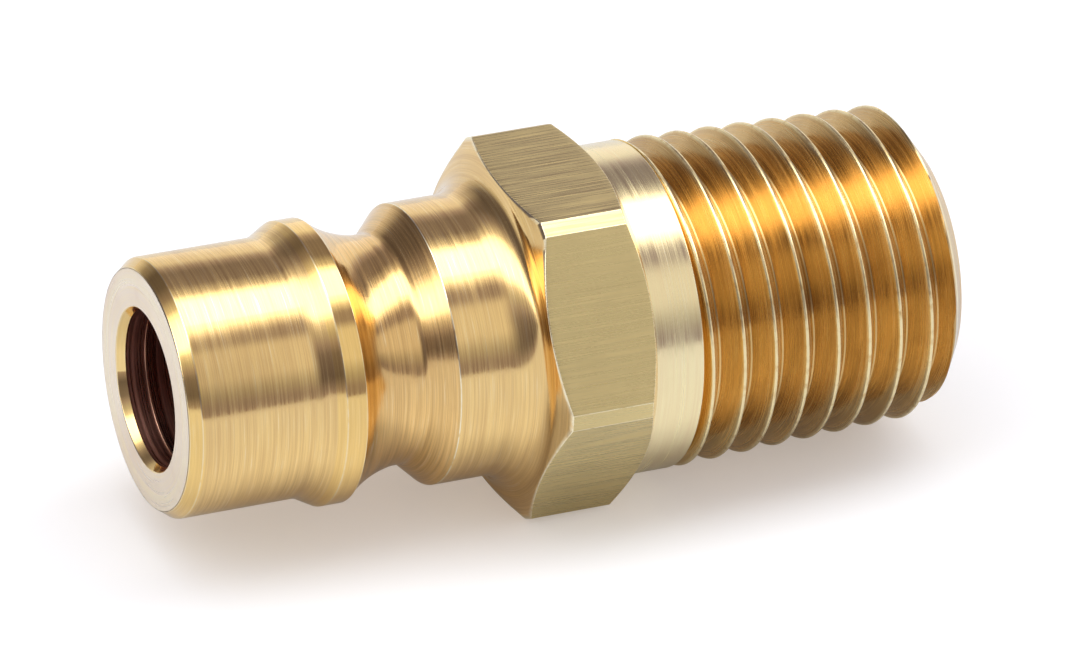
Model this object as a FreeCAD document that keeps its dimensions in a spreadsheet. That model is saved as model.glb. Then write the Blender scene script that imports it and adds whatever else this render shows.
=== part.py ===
import FreeCAD, Part
import math
import os

import Sketcher

# Male plug of a quick disconnect coupler with a shut-off valve, millimetres.
# X runs along the turning axis from the nose to the pipe thread, and +Z is up.
# The origin lies on the axis where the cylinder of the nose begins, and one flat
# of the hexagon faces straight down, so that the plug rests on it.

V = FreeCAD.Vector

SIZES = {
    # Nose, which enters the socket
    "nose_dia": 10.7,
    "nose_length": 5.05,
    "nose_chamfer_length": 0.5,
    "nose_face_dia": 9.94,
    "nose_bore_dia": 6.46,
    "nose_bore_depth": 6.2,
    "lead_in": 0.17,
    "lead_in_length": 0.35,
    # Locking collar behind the nose
    "ramp_length": 0.9,
    "collar_dia": 11.72,
    "collar_length": 0.85,
    "collar_edge": 0.12,
    # Ball groove
    "groove_dia": 9.5,
    "groove_flank_length": 2.4,
    "groove_floor_length": 0.58,
    "groove_flank_radius": 4.6,
    "shoulder_slope_length": 1.07,
    # Shoulder between the groove and the hexagon
    "shoulder_dia": 11.62,
    "shoulder_length": 2.18,
    "flare_length": 1.39,
    # Hexagon
    "hex_flats": 14.0,
    "hex_corner_trim": 0.3858075373,
    "hex_face_drop": 0.12,
    "hex_front_chamfer": 0.44,
    "hex_length": 4.52,
    "hex_rear_chamfer": 0.57,
    # Shank and tapered pipe thread, sixteenth taper on the diameter
    "shank_dia": 13.64,
    "shank_length": 2.13,
    "thread_large_dia": 13.71,
    "thread_pitch": 1.4111,
    "thread_length": 12.23,
    "thread_taper": 0.0625,
    "thread_crest_flat": 0.1,
    "thread_root_flat": 0.1,
    "thread_end_land": 0.55,
    "thread_end_chamfer": 0.95,
    "thread_start_angle": 16.0,
    # Bore behind the nose
    "throat_dia": 5.8,
    "seat_station": 10.9,
    "chamber_dia": 8.7,
    "port_chamfer": 0.25,
    # Valve
    "lift": 2.3,
    "seal_wire_dia": 1.0,
    "seal_mean_dia": 6.8,
    "head_flange_dia": 6.6,
    "head_flange_length": 0.3,
    "push_nose_dia": 3.0,
    "head_cone_length": 0.75,
    "washer_dia": 7.2,
    "washer_thickness": 0.5,
    "spigot_dia": 2.0,
    "spigot_length": 2.0,
    "barrel_dia": 4.0,
    "stem_dia": 2.5,
    "stem_tail": 0.7,
    "edge_break": 0.15,
    # Spring
    "spring_wire_dia": 0.6,
    "spring_mean_dia": 5.5,
    "spring_turns": 6.0,
    # Guide, bush and retaining ring
    "guide_station": 22.0,
    "guide_thickness": 2.0,
    "guide_rim_wall": 0.75,
    "guide_hub_dia": 4.6,
    "guide_hub_boss": 1.4,
    "guide_leg_width_angle": 26.0,
    "guide_legs": 3,
    "bush_dia": 3.5,
    "bush_flange_dia": 4.3,
    "bush_flange_thickness": 0.4,
    "ring_thickness": 0.8,
    "ring_wall": 0.75,
    "ring_groove_depth": 0.33,
    "ring_gap_angle": 50.0,
    # Clearances
    "running_clearance": 0.03,
    "location_clearance": 0.03,
    "screwed_clearance": 0.02,
    "seat_gap": 0.1,
    "stop_gap": 0.1,
    "spring_gap": 0.1,
    "seal_side_gap": 0.04,
    "ring_groove_clearance": 0.05,
    "push_nose_setback": 0.4,
}


class Size:
    """A number and its spreadsheet expression, kept together through a formula."""

    def __init__(self, value, text):
        self.value = float(value)
        self.text = text

    @staticmethod
    def of(thing):
        return thing if isinstance(thing, Size) else Size(thing, repr(float(thing)))

    def __add__(self, other):
        other = Size.of(other)
        return Size(self.value + other.value, f"({self.text} + {other.text})")

    def __sub__(self, other):
        other = Size.of(other)
        return Size(self.value - other.value, f"({self.text} - {other.text})")

    def __mul__(self, other):
        other = Size.of(other)
        return Size(self.value * other.value, f"({self.text} * {other.text})")

    def __truediv__(self, other):
        other = Size.of(other)
        return Size(self.value / other.value, f"({self.text} / {other.text})")

    def __neg__(self):
        return Size(0, "0") - self

    def cosine(self):
        """Cosine of an angle in degrees."""
        return Size(math.cos(math.radians(self.value)), f"cos({self.text} * 1deg)")

    def sine(self):
        """Sine of an angle in degrees."""
        return Size(math.sin(math.radians(self.value)), f"sin({self.text} * 1deg)")


def make_sheet(doc):
    """Put every driving dimension in the sheet and return them by name."""
    sheet = doc.addObject("Spreadsheet::Sheet", "sizes")
    for row, (name, value) in enumerate(SIZES.items(), start=1):
        sheet.set(f"A{row}", name)
        sheet.set(f"B{row}", str(value))
        sheet.setAlias(f"B{row}", name)
    doc.recompute()
    return {name: Size(value, f"sizes.{name}") for name, value in SIZES.items()}


def make_body(doc, label, station=None):
    """A body that stands at a station along the axis."""
    body = doc.addObject("PartDesign::Body", label)
    body.Label = label
    if station is not None:
        body.setExpression("Placement.Base.x", station.text)
    return body


def make_sketch(body, name, plane):
    """An empty sketch on one of the body's own origin planes."""
    sketch = body.newObject("Sketcher::SketchObject", name)
    support = [item for item in body.Origin.OriginFeatures if item.Role == plane]
    sketch.AttachmentSupport = (support[0], [""])
    sketch.MapMode = "FlatFace"
    return sketch


def bind_constraints(sketch, wanted):
    """Add constraints and tie each named one to its size."""
    for constraint, name, size in wanted:
        index = sketch.addConstraint(constraint)
        if name:
            sketch.renameConstraint(index, name)
            sketch.setExpression(f"Constraints.{name}", size.text)


def arc_between(start, end, radius, turn):
    """The short arc from start to end, and whether it runs anticlockwise."""
    chord = end - start
    half = chord.Length / 2
    across = V(chord.y, -chord.x, 0).normalize() * turn
    rise = radius - math.sqrt(max(radius * radius - half * half, 0))
    middle = (start + end) / 2 + across * rise
    return Part.Arc(start, middle, end), turn > 0


def outline(body, name, corners, plane="XZ_Plane"):
    """A closed outline whose every corner is tied to its two sizes.

    A corner is (x, y), or (x, y, radius, turn) where an arc ends there: turn is 1
    for an anticlockwise arc and -1 for a clockwise one.
    """
    sketch = make_sketch(body, name, plane)
    corners = [tuple(Size.of(item) for item in corner[:3]) + corner[3:] for corner in corners]
    points = [V(corner[0].value, corner[1].value, 0) for corner in corners]
    ends = []
    wanted = []
    for index, corner in enumerate(corners):
        start, end = points[index - 1], points[index]
        if len(corner) == 4:
            curve, forward = arc_between(start, end, corner[2].value, corner[3])
        else:
            curve, forward = Part.LineSegment(start, end), True
        edge = sketch.addGeometry(curve)
        ends.append((edge, 1, 2) if forward else (edge, 2, 1))
        if len(corner) == 4:
            wanted.append((Sketcher.Constraint("Radius", edge, corner[2].value), f"radius_{index}", corner[2]))
    for index, (edge, _, last) in enumerate(ends):
        following, first, _ = ends[(index + 1) % len(ends)]
        wanted.append((Sketcher.Constraint("Coincident", edge, last, following, first), "", None))
        for kind, place in (("DistanceX", 0), ("DistanceY", 1)):
            size = corners[index][place]
            if size.text == "0.0":
                line = -2 if place == 0 else -1
                wanted.append((Sketcher.Constraint("PointOnObject", edge, last, line), "", None))
            else:
                tie = Sketcher.Constraint(kind, -1, 1, edge, last, size.value)
                wanted.append((tie, f"{'xy'[place]}_{index}", size))
    bind_constraints(sketch, wanted)
    return sketch


def circle_outline(body, name, x, y, radius, plane="XZ_Plane"):
    """A circle tied to its centre and radius."""
    sketch = make_sketch(body, name, plane)
    x, y, radius = Size.of(x), Size.of(y), Size.of(radius)
    edge = sketch.addGeometry(Part.Circle(V(x.value, y.value, 0), V(0, 0, 1), radius.value))
    wanted = [(Sketcher.Constraint("Radius", edge, radius.value), "radius", radius)]
    for kind, line, size in (("DistanceX", -2, x), ("DistanceY", -1, y)):
        if size.text == "0.0":
            wanted.append((Sketcher.Constraint("PointOnObject", edge, 3, line), "", None))
        else:
            tie = Sketcher.Constraint(kind, -1, 1, edge, 3, size.value)
            wanted.append((tie, kind.lower(), size))
    bind_constraints(sketch, wanted)
    return sketch


def revolve(body, name, sketch, angle=None, kind="Revolution"):
    """Turn an outline about the axis, all the way round unless an angle is given."""
    turned = body.newObject(f"PartDesign::{kind}", name)
    turned.Profile = sketch
    turned.ReferenceAxis = (sketch, ["H_Axis"])
    turned.Angle = 360
    if angle is not None:
        turned.Midplane = True
        turned.setExpression("Angle", angle.text)
    sketch.Visibility = False
    return turned


def rectangle(x0, x1, y0, y1):
    """Corners of a rectangle."""
    return [(x0, y0), (x1, y0), (x1, y1), (x0, y1)]


def plug_stations(s):
    """Stations along the plug's axis, each from the ones before it."""
    at = {"face": -s["nose_chamfer_length"]}
    at["ramp"] = s["nose_length"]
    at["collar"] = at["ramp"] + s["ramp_length"]
    at["collar_back"] = at["collar"] + s["collar_length"]
    at["floor"] = at["collar_back"] + s["groove_flank_length"]
    at["slope"] = at["floor"] + s["groove_floor_length"]
    at["shoulder"] = at["slope"] + s["shoulder_slope_length"]
    at["flare"] = at["shoulder"] + s["shoulder_length"]
    at["hex"] = at["flare"] + s["flare_length"]
    at["hex_back"] = at["hex"] + s["hex_length"]
    at["thread"] = at["hex_back"] + s["shank_length"]
    at["end"] = at["thread"] + s["thread_length"]
    return at


def hex_corner_radius(s):
    """Radius over the trimmed corners of the hexagon."""
    return (s["hex_flats"] / Size.of(30.0).cosine() - s["hex_corner_trim"]) / 2


def thread_crest_radius(s, at, x):
    """Radius of the thread's crest at a station."""
    return s["thread_large_dia"] / 2 - (x - at["thread"]) * s["thread_taper"] / 2


def make_thread(body, s, at):
    """The threaded end: a tapered blank with its bore, and the V groove cut into it."""
    end, bore = at["end"], s["chamber_dia"] / 2
    chamfer_back = end - s["thread_end_chamfer"]
    blank = outline(body, "thread_blank_outline", [
        (at["thread"], bore),
        (at["thread"], s["thread_large_dia"] / 2),
        (chamfer_back, thread_crest_radius(s, at, chamfer_back)),
        (end, bore + s["port_chamfer"] + s["thread_end_land"]),
        (end, bore + s["port_chamfer"]),
        (end - s["port_chamfer"], bore),
    ])
    revolve(body, "thread_blank", blank)

    # The groove starts and ends outside the blank. Its outline stands above the crest
    # by half of what the crest flat allows, so neighbouring turns never meet.
    slant = math.tan(math.radians(30))
    depth = (s["thread_pitch"] - s["thread_crest_flat"] - s["thread_root_flat"]) / (2 * slant)
    over = s["thread_crest_flat"] / (4 * slant)
    lead = s["thread_pitch"] * 1.5
    root_x = at["thread"] - lead + s["thread_pitch"] * s["thread_start_angle"] / 360
    crest = thread_crest_radius(s, at, root_x)
    root_half = s["thread_root_flat"] / 2
    top_half = root_half + (depth + over) * slant
    vee = outline(body, "thread_groove_outline", [
        (root_x - top_half, crest + over),
        (root_x - root_half, crest - depth),
        (root_x + root_half, crest - depth),
        (root_x + top_half, crest + over),
    ])
    groove = body.newObject("PartDesign::SubtractiveHelix", "thread_groove")
    groove.Profile = vee
    groove.ReferenceAxis = (vee, ["H_Axis"])
    groove.Mode = "pitch-height-angle"
    groove.setExpression("Pitch", s["thread_pitch"].text)
    groove.setExpression("Height", (s["thread_length"] + lead + s["thread_pitch"]).text)
    groove.setExpression("Angle", f"-atan(({s['thread_taper'].text}) / 2)")
    groove.LeftHanded = False
    groove.HasBeenEdited = True
    vee.Visibility = False


def make_front(body, s, at):
    """Everything ahead of the thread: nose, collar, groove, shoulder, hexagon blank and shank."""
    nose, bore, throat = s["nose_dia"] / 2, s["nose_bore_dia"] / 2, s["throat_dia"] / 2
    collar, floor, shoulder = s["collar_dia"] / 2, s["groove_dia"] / 2, s["shoulder_dia"] / 2
    corner, face, chamber = hex_corner_radius(s), (s["hex_flats"] - s["hex_face_drop"]) / 2, s["chamber_dia"] / 2
    seat_end = s["seat_station"] + chamber - throat
    # The flare leaves the shoulder along it and meets the face of the hexagon.
    rise = face - shoulder
    flare = (s["flare_length"] * s["flare_length"] + rise * rise) / (rise * 2)
    outside = outline(body, "front_outline", [
        (at["face"], bore + s["lead_in"]),
        (at["face"], s["nose_face_dia"] / 2),
        (Size.of(0), nose),
        (at["ramp"], nose),
        (at["collar"], collar),
        (at["collar_back"], collar),
        (at["collar_back"] + s["collar_edge"], collar - s["collar_edge"]),
        (at["floor"], floor, s["groove_flank_radius"], 1),
        (at["slope"], floor),
        (at["shoulder"], shoulder),
        (at["flare"], shoulder),
        (at["hex"], face, flare, 1),
        (at["hex"] + s["hex_front_chamfer"], corner),
        (at["hex_back"] - s["hex_rear_chamfer"], corner),
        (at["hex_back"], face),
        (at["hex_back"], s["shank_dia"] / 2),
        (at["thread"], s["shank_dia"] / 2),
        (at["thread"], chamber),
        (seat_end, chamber),
        (s["seat_station"], throat),
        (s["nose_bore_depth"], throat),
        (s["nose_bore_depth"], bore),
        (at["face"] + s["lead_in_length"], bore),
    ])
    revolve(body, "front", outside)


def make_flats(body, s):
    """Six flats milled on the hexagon, the first one facing down."""
    reach = hex_corner_radius(s) * 2
    strip = outline(body, "flat_outline", rectangle(-reach, reach, -reach, -s["hex_flats"] / 2), "YZ_Plane")
    flat = body.newObject("PartDesign::Pocket", "flat")
    flat.Profile = strip
    flat.Type = "ThroughAll"
    flat.Midplane = True
    strip.Visibility = False
    flats = body.newObject("PartDesign::PolarPattern", "flats")
    flats.Originals = [flat]
    flats.Axis = (strip, ["N_Axis"])
    flats.Angle = 360
    flats.Occurrences = 6
    body.Tip = flats


def make_ring_groove(body, s, ring_station):
    """Groove in the bore for the retaining ring."""
    bore = s["chamber_dia"] / 2
    width = s["ring_thickness"] + s["ring_groove_clearance"]
    section = outline(body, "ring_groove_outline", rectangle(
        ring_station, ring_station + width, bore - s["ring_groove_depth"], bore + s["ring_groove_depth"]))
    revolve(body, "ring_groove", section, kind="Groove")


def plug_body(doc, s, at, ring_station):
    """The turned brass body."""
    body = make_body(doc, "plug_body")
    make_thread(body, s, at)
    make_front(body, s, at)
    make_flats(body, s)
    make_ring_groove(body, s, ring_station)


def valve_head(doc, s, station):
    """Valve head, its rear face at the station, with the push nose just behind the nose bore."""
    body = make_body(doc, "valve_head", station)
    spigot = s["spigot_dia"] / 2 + s["screwed_clearance"]
    floor = (s["seal_mean_dia"] - s["seal_wire_dia"]) / 2
    flange, nose, edge = s["head_flange_dia"] / 2, s["push_nose_dia"] / 2, s["edge_break"]
    flange_back = -s["seal_wire_dia"] - s["seal_side_gap"] * 2
    flange_front = flange_back - s["head_flange_length"]
    cone_front = flange_front - s["head_cone_length"]
    tip = s["nose_bore_depth"] + s["push_nose_setback"] - station
    hole = -s["spigot_length"] - edge
    section = outline(body, "head_outline", [
        (tip, 0.0),
        (tip, nose - edge * 2),
        (tip + edge * 2, nose),
        (cone_front, nose),
        (flange_front, flange - edge),
        (flange_front + edge, flange),
        (flange_back, flange),
        (flange_back, floor),
        (0.0, floor),
        (0.0, spigot),
        (hole, spigot),
        (hole, 0.0),
    ])
    revolve(body, "head", section)


def seat_seal(doc, s, station):
    """O-ring that closes on the seat."""
    body = make_body(doc, "seat_seal", station)
    section = circle_outline(body, "seal_section", 0.0, s["seal_mean_dia"] / 2, s["seal_wire_dia"] / 2)
    revolve(body, "seal", section)


def seal_washer(doc, s, station):
    """Washer between the head and the stem."""
    body = make_body(doc, "seal_washer", station)
    edge, rim, hole = s["edge_break"], s["washer_dia"] / 2, s["spigot_dia"] / 2 + s["screwed_clearance"]
    section = outline(body, "washer_section", [
        (0.0, hole),
        (0.0, rim),
        (s["washer_thickness"] - edge, rim),
        (s["washer_thickness"], rim - edge),
        (s["washer_thickness"], hole),
    ])
    revolve(body, "washer", section)


def valve_stem(doc, s, station, barrel_length, stem_length):
    """Stem: a spigot for the head, a barrel inside the spring and a shaft in the bush."""
    body = make_body(doc, "valve_stem", station)
    spigot, barrel, shaft, edge = s["spigot_dia"] / 2, s["barrel_dia"] / 2, s["stem_dia"] / 2, s["edge_break"]
    front = -s["spigot_length"] - s["washer_thickness"]
    tail = barrel_length + stem_length
    section = outline(body, "stem_outline", [
        (front, 0.0),
        (front, spigot - edge),
        (front + edge, spigot),
        (0.0, spigot),
        (0.0, barrel),
        (barrel_length - edge, barrel),
        (barrel_length, barrel - edge),
        (barrel_length, shaft),
        (tail - edge * 2, shaft),
        (tail, shaft - edge * 2),
        (tail, 0.0),
    ])
    revolve(body, "stem", section)


def valve_spring(doc, s, station, length):
    """Round-wire compression spring."""
    body = make_body(doc, "valve_spring", station)
    wire = s["spring_wire_dia"] / 2
    section = circle_outline(body, "wire_section", wire, s["spring_mean_dia"] / 2, wire)
    coil = body.newObject("PartDesign::AdditiveHelix", "coil")
    coil.Profile = section
    coil.ReferenceAxis = (section, ["H_Axis"])
    coil.Mode = "height-turns-angle"
    coil.setExpression("Height", (length - s["spring_wire_dia"]).text)
    coil.setExpression("Turns", s["spring_turns"].text)
    coil.HasBeenEdited = True
    section.Visibility = False


def stem_guide(doc, s, station):
    """Guide disc with a hub boss in front and a window between each pair of legs."""
    body = make_body(doc, "stem_guide", station)
    rim = s["chamber_dia"] / 2 - s["location_clearance"]
    hole = s["bush_dia"] / 2
    hub, back = s["guide_hub_dia"] / 2, s["guide_thickness"]
    disc = outline(body, "guide_outline", [
        (-s["guide_hub_boss"], hole),
        (-s["guide_hub_boss"], hub),
        (0.0, hub),
        (0.0, rim - s["edge_break"]),
        (s["edge_break"], rim),
        (back, rim),
        (back, hole),
    ])
    revolve(body, "disc", disc)

    # One window, half way between two legs, then the same window at each other gap.
    inner, outer = hub, rim - s["guide_rim_wall"]
    half = Size.of(180.0) / s["guide_legs"] - s["guide_leg_width_angle"] / 2
    across, along = half.cosine(), half.sine()
    window = outline(body, "window_outline", [
        (inner * across, -(inner * along), inner, -1),
        (outer * across, -(outer * along)),
        (outer * across, outer * along, outer, 1),
        (inner * across, inner * along),
    ], "YZ_Plane")
    cut = body.newObject("PartDesign::Pocket", "window")
    cut.Profile = window
    cut.Type = "ThroughAll"
    cut.Midplane = True
    window.Visibility = False
    windows = body.newObject("PartDesign::PolarPattern", "windows")
    windows.Originals = [cut]
    windows.Axis = (window, ["N_Axis"])
    windows.Angle = 360
    windows.setExpression("Occurrences", s["guide_legs"].text)
    body.Tip = windows


def guide_bush(doc, s, station):
    """Flanged bush in the hub, its flange in front."""
    body = make_body(doc, "guide_bush", station)
    hole = s["stem_dia"] / 2 + s["running_clearance"]
    length = s["guide_hub_boss"] + s["guide_thickness"]
    section = outline(body, "bush_outline", [
        (-s["bush_flange_thickness"], hole + s["edge_break"]),
        (-s["bush_flange_thickness"], s["bush_flange_dia"] / 2),
        (0.0, s["bush_flange_dia"] / 2),
        (0.0, s["bush_dia"] / 2),
        (length, s["bush_dia"] / 2),
        (length, hole),
        (s["edge_break"] - s["bush_flange_thickness"], hole),
    ])
    revolve(body, "bush", section)


def retaining_ring(doc, s, station):
    """Split ring sprung into its groove, its gap at the bottom."""
    body = make_body(doc, "retaining_ring", station)
    outer = s["chamber_dia"] / 2 + s["ring_groove_depth"] - s["location_clearance"]
    inner = s["chamber_dia"] / 2 - s["ring_wall"]
    section = outline(body, "ring_section", rectangle(0.0, s["ring_thickness"], inner, outer))
    revolve(body, "ring", section, Size.of(360.0) - s["ring_gap_angle"])


def seal_station(s):
    """Station of the O-ring's centre with the valve shut: its section clears the cone by the seat gap."""
    rise = s["seal_mean_dia"] / 2 - s["throat_dia"] / 2
    return s["seat_station"] + rise + (s["seal_wire_dia"] / 2 + s["seat_gap"]) * math.sqrt(2)


def build(doc):
    """Build every sub-part."""
    s = make_sheet(doc)
    at = plug_stations(s)
    guide_back = s["guide_station"] + s["guide_thickness"]
    plug_body(doc, s, at, guide_back)

    seal = seal_station(s)
    head_back = seal + s["seal_wire_dia"] / 2 + s["seal_side_gap"]
    washer_back = head_back + s["washer_thickness"]
    bush_station = s["guide_station"] - s["guide_hub_boss"]
    bush_face = bush_station - s["bush_flange_thickness"]
    barrel_length = bush_face - s["lift"] - s["stop_gap"] - washer_back
    stem_length = guide_back + s["stem_tail"] - washer_back - barrel_length
    valve_head(doc, s, head_back)
    seat_seal(doc, s, seal)
    seal_washer(doc, s, head_back)
    valve_stem(doc, s, washer_back, barrel_length, stem_length)
    spring_start = washer_back + s["spring_gap"]
    valve_spring(doc, s, spring_start, s["guide_station"] - spring_start)
    stem_guide(doc, s, s["guide_station"])
    guide_bush(doc, s, bush_station)
    retaining_ring(doc, s, guide_back)


def check(doc):
    """Stop on any failed feature or unsound sub-part."""
    for item in doc.Objects:
        if {"Invalid", "Error"} & set(item.State):
            raise RuntimeError(f"{item.Label} failed: {item.State}")
    for body in doc.findObjects("PartDesign::Body"):
        if body.Shape.isNull() or not body.Shape.isValid():
            raise RuntimeError(f"{body.Label} has no sound shape")


def write(doc):
    """Write each sub-part to its own STEP file."""
    os.makedirs("parts", exist_ok=True)
    for body in doc.findObjects("PartDesign::Body"):
        body.Shape.exportStep(os.path.join("parts", f"{body.Label}.step"))
        box = body.Shape.BoundBox
        print(f"{body.Label}: {len(body.Shape.Solids)} solid, volume {body.Shape.Volume:.3f} mm3, "
              f"x {box.XMin:.3f} to {box.XMax:.3f}, z {box.ZMin:.3f} to {box.ZMax:.3f}")


def main():
    doc = FreeCAD.newDocument("plug")
    build(doc)
    doc.recompute()
    check(doc)
    write(doc)


main()
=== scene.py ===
"""Looks of a brass coupler plug with a shut-off valve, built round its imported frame."""

import logging
import math
from dataclasses import dataclass
from enum import Enum
from typing import ClassVar

import bpy
import numpy as np
from mathutils import Matrix, Vector

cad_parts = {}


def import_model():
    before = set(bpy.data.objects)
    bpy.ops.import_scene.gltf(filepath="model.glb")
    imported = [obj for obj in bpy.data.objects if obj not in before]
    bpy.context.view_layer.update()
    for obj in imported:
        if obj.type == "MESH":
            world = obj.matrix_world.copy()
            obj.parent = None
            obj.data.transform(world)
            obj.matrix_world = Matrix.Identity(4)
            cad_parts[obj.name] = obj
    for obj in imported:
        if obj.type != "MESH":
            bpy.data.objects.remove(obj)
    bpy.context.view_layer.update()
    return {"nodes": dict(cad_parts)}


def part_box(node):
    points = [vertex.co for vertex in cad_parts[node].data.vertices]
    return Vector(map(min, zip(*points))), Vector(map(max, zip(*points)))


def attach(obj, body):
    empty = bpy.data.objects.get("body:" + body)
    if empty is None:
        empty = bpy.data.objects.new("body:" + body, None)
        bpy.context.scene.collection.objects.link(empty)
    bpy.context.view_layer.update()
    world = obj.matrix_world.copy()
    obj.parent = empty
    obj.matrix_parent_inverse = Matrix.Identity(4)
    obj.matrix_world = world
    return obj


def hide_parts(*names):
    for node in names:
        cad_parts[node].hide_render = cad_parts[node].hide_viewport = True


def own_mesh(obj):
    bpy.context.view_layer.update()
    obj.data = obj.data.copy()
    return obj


log = logging.getLogger("coupler_plug")

MM = 0.001
MM_PER_METRE = 1000.0
THREAD_HALF_ANGLE = math.radians(30)
SIDE_ANGLE = math.pi / 3
WHITE = (1.0, 1.0, 1.0)

Colour = tuple[float, float, float]
Range = tuple[float, float]
Outline = tuple[tuple[float, float], ...]
Bands = tuple[tuple[float, float], ...]
Socket = bpy.types.NodeSocket


class Zone(Enum):
    """Stretches of the turned body that carry a finish of their own."""

    FACE = 0
    TURNED = 1
    GROOVE = 2
    HEXAGON = 3
    SHANK = 4
    THREAD = 5
    BORE = 6
    END = 7
    LEAD_IN = 8
    POLISHED = 9


class Spread(Enum):
    """Direction in which a finish's fine marks run."""

    ROUND = "round"
    ALONG = "along"


def add_node(tree: bpy.types.NodeTree, kind: str, **settings: object) -> bpy.types.Node:
    """Add a node and set its properties.

    Args:
        tree: Node tree that gets the node.
        kind: Name of the node's type after the ShaderNode prefix.
        **settings: Properties to set.

    Returns:
        The new node.
    """
    node = tree.nodes.new("ShaderNode" + kind)
    for key, value in settings.items():
        setattr(node, key, value)
    return node


class Wiring:
    """Short ways to add and join the nodes of one tree."""

    def __init__(self, tree: bpy.types.NodeTree) -> None:
        """Keep the tree."""
        self.tree = tree

    def feed(self, socket: Socket, source: object) -> None:
        """Set a socket to a value, or link it to another socket.

        Args:
            socket: Input socket.
            source: Output socket, number or tuple.
        """
        if isinstance(source, Socket):
            self.tree.links.new(source, socket)
        else:
            socket.default_value = source

    def math(self, operation: str, first: object, second: object = 0.0, third: object = 0.0) -> Socket:
        """Join a math node.

        Args:
            operation: Name of the operation.
            first: First value or socket.
            second: Second value or socket.
            third: Third value or socket.

        Returns:
            The node's output.
        """
        node = add_node(self.tree, "Math", operation=operation)
        for socket, source in zip(node.inputs, (first, second, third)):
            self.feed(socket, source)
        return node.outputs[0]

    def mix(self, factor: object, first: object, second: object) -> Socket:
        """Mix two colours.

        Args:
            factor: Share of the second colour.
            first: First colour.
            second: Second colour.

        Returns:
            The mixed colour.
        """
        node = add_node(self.tree, "Mix", data_type="RGBA")
        self.feed(node.inputs["Factor"], factor)
        self.feed(node.inputs[6], first)
        self.feed(node.inputs[7], second)
        return node.outputs[2]

    def noise(self, vector: object, scale: float, detail: float = 3.0) -> Socket:
        """Noise from 0 to 1 at a place.

        Args:
            vector: Place.
            scale: Spots per unit.
            detail: Octaves.

        Returns:
            The noise value.
        """
        node = add_node(self.tree, "TexNoise")
        self.feed(node.inputs["Vector"], vector)
        node.inputs["Scale"].default_value = scale
        node.inputs["Detail"].default_value = detail
        return node.outputs["Fac"]

    def vector(self, x: object, y: object, z: object) -> Socket:
        """Join three numbers into a vector."""
        node = add_node(self.tree, "CombineXYZ")
        for socket, source in zip(node.inputs, (x, y, z)):
            self.feed(socket, source)
        return node.outputs[0]

    def span(self, value: object, low: float, high: float, to_low: float = 0.0,
             to_high: float = 1.0) -> Socket:
        """Map a range onto another, with its ends clamped.

        Args:
            value: Value to map.
            low: Value that gives to_low.
            high: Value that gives to_high.
            to_low: Output at low.
            to_high: Output at high.

        Returns:
            The mapped value.
        """
        node = add_node(self.tree, "MapRange")
        for socket, source in zip(node.inputs, (value, low, high, to_low, to_high)):
            self.feed(socket, source)
        return node.outputs[0]


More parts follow.
